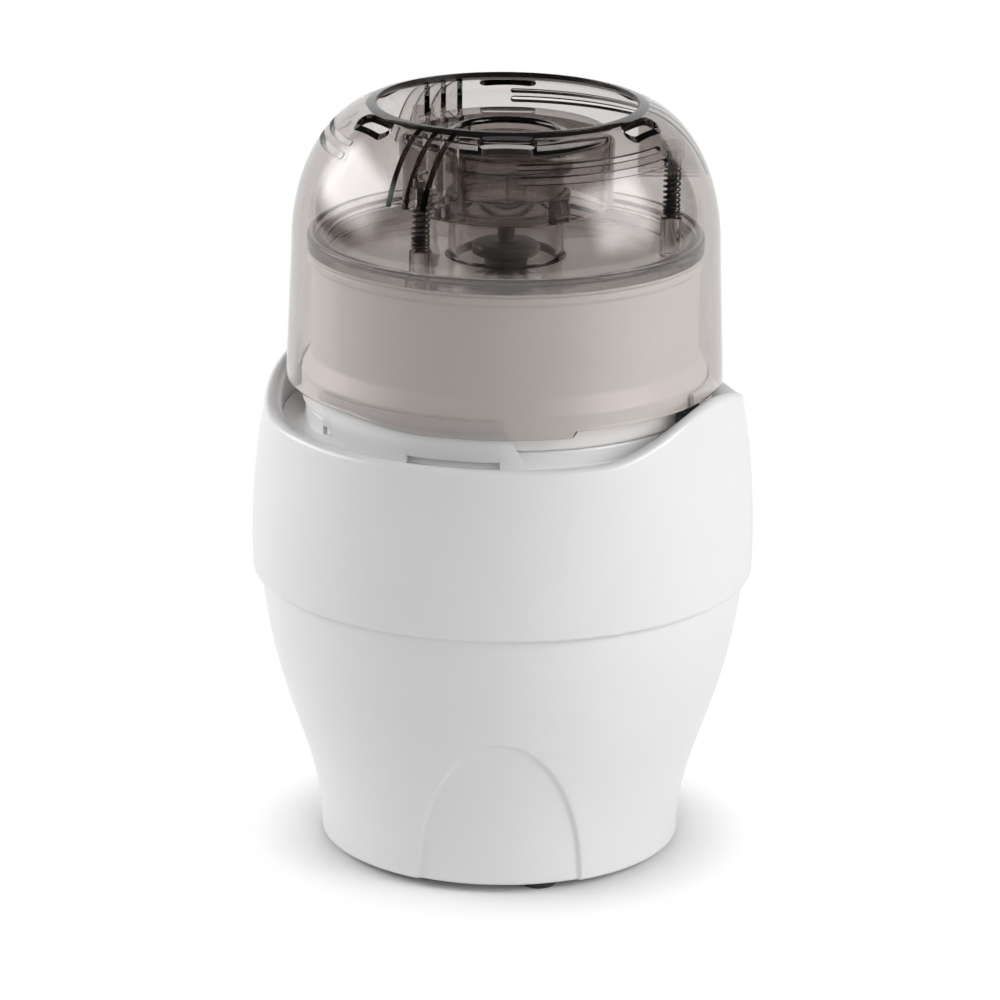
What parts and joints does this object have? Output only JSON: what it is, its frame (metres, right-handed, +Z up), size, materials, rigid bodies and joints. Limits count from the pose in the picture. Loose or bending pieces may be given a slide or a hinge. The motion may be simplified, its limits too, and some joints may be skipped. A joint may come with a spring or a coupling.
{
  "type": "food chopper",
  "caption": "Press-lid food chopper: barrel motor base with a wavy collar, white bowl with swept blades, inner lid with a filler, and a clear smoke dome pressed down on springs.",
  "frame": {"origin": "on the table under the middle of the body", "axes": "+Z up along the motor shaft, the front with the arched recess faces -Y, +X to the right seen from the front"},
  "size_m": [0.15, 0.15, 0.2279],
  "materials": {
    "housing_white": "fine satin gloss",
    "plate_grey": "moulded",
    "foot_rubber": "matt",
    "smoke_clear": "clear smoke tint, polished",
    "bowl_white": "satin",
    "blade_steel": "ground",
    "spring_steel": "oiled black",
    "black_plastic": "moulded",
    "zinc_steel": "zinc plated",
    "lamination": "stacked sheet",
    "copper_wire": "enamelled wire",
    "bearing_bronze": "sintered",
    "die_cast": "as cast",
    "carbon": "pressed carbon",
    "brush_resin": "moulded resin",
    "silicone": "soft",
    "seal_rubber": "lip seal",
    "fan_plastic": "moulded"
  },
  "bodies": {
    "base": {"lower_housing": "housing_white", "upper_housing": "housing_white", "deck": "housing_white", "base_plate": "plate_grey", "feet": "foot_rubber", "plate_screws": "zinc_steel", "shell_screws": "zinc_steel", "cord_gland": "foot_rubber", "stator_core": "lamination", "field_coils": "copper_wire", "lower_bracket": "die_cast", "upper_bracket": "die_cast", "lower_bearing": "bearing_bronze", "upper_bearing": "bearing_bronze", "motor_bolts": "zinc_steel", "motor_dampers": "foot_rubber", "damper_screws": "zinc_steel", "brush_holders": "brush_resin", "carbon_brushes": "carbon", "shaft_seal": "seal_rubber", "switch_bracket": "zinc_steel", "switch_body": "black_plastic", "switch_screws": "zinc_steel", "slider_spring": "spring_steel"},
    "drive": {"motor_shaft": "zinc_steel", "armature_core": "lamination", "armature_winding": "copper_wire", "commutator": "copper_wire", "cooling_fan": "fan_plastic", "drive_coupling": "black_plastic"},
    "slider": {"switch_slider": "black_plastic"},
    "bowl": {"bowl": "bowl_white"},
    "blade": {"blade_hub": "black_plastic", "lower_blade": "blade_steel", "blade_spacer": "blade_steel", "upper_blade": "blade_steel", "blade_retainer": "blade_steel"},
    "lid": {"inner_lid": "smoke_clear", "lid_gasket": "silicone", "lid_knob": "smoke_clear", "press_springs": "spring_steel"},
    "dome": {"press_dome": "smoke_clear", "spring_pins": "spring_steel"}
  },
  "joints": [
    {"name": "drive_spin", "type": "hinge", "parent": "base", "child": "drive", "pos_m": [0, 0, 0.08], "axis": [0, 0, 1], "continuous": true},
    {"name": "bowl_lift", "type": "slide", "parent": "base", "child": "bowl", "axis": [0, 0, 1], "range_m": [0, 0.06]},
    {"name": "blade_spin", "type": "hinge", "parent": "bowl", "child": "blade", "pos_m": [0, 0, 0.15], "axis": [0, 0, 1], "continuous": true},
    {"name": "lid_lift", "type": "slide", "parent": "bowl", "child": "lid", "axis": [0, 0, 1], "range_m": [0, 0.065]},
    {"name": "dome_press", "type": "slide", "parent": "lid", "child": "dome", "axis": [0, 0, -1], "range_m": [0, 0.005], "stiffness_N_per_m": 1500, "springref_m": -0.004, "deforming": ["press_springs"]},
    {"name": "switch_press", "type": "slide", "parent": "base", "child": "slider", "axis": [0, 0, -1], "range_m": [0, 0.005], "deforming": ["slider_spring"]}
  ],
  "couplings": [
    {"joint": "blade_spin", "follows": "drive_spin", "ratio": 1},
    {"joint": "switch_press", "follows": "dome_press", "ratio": 1}
  ]
}
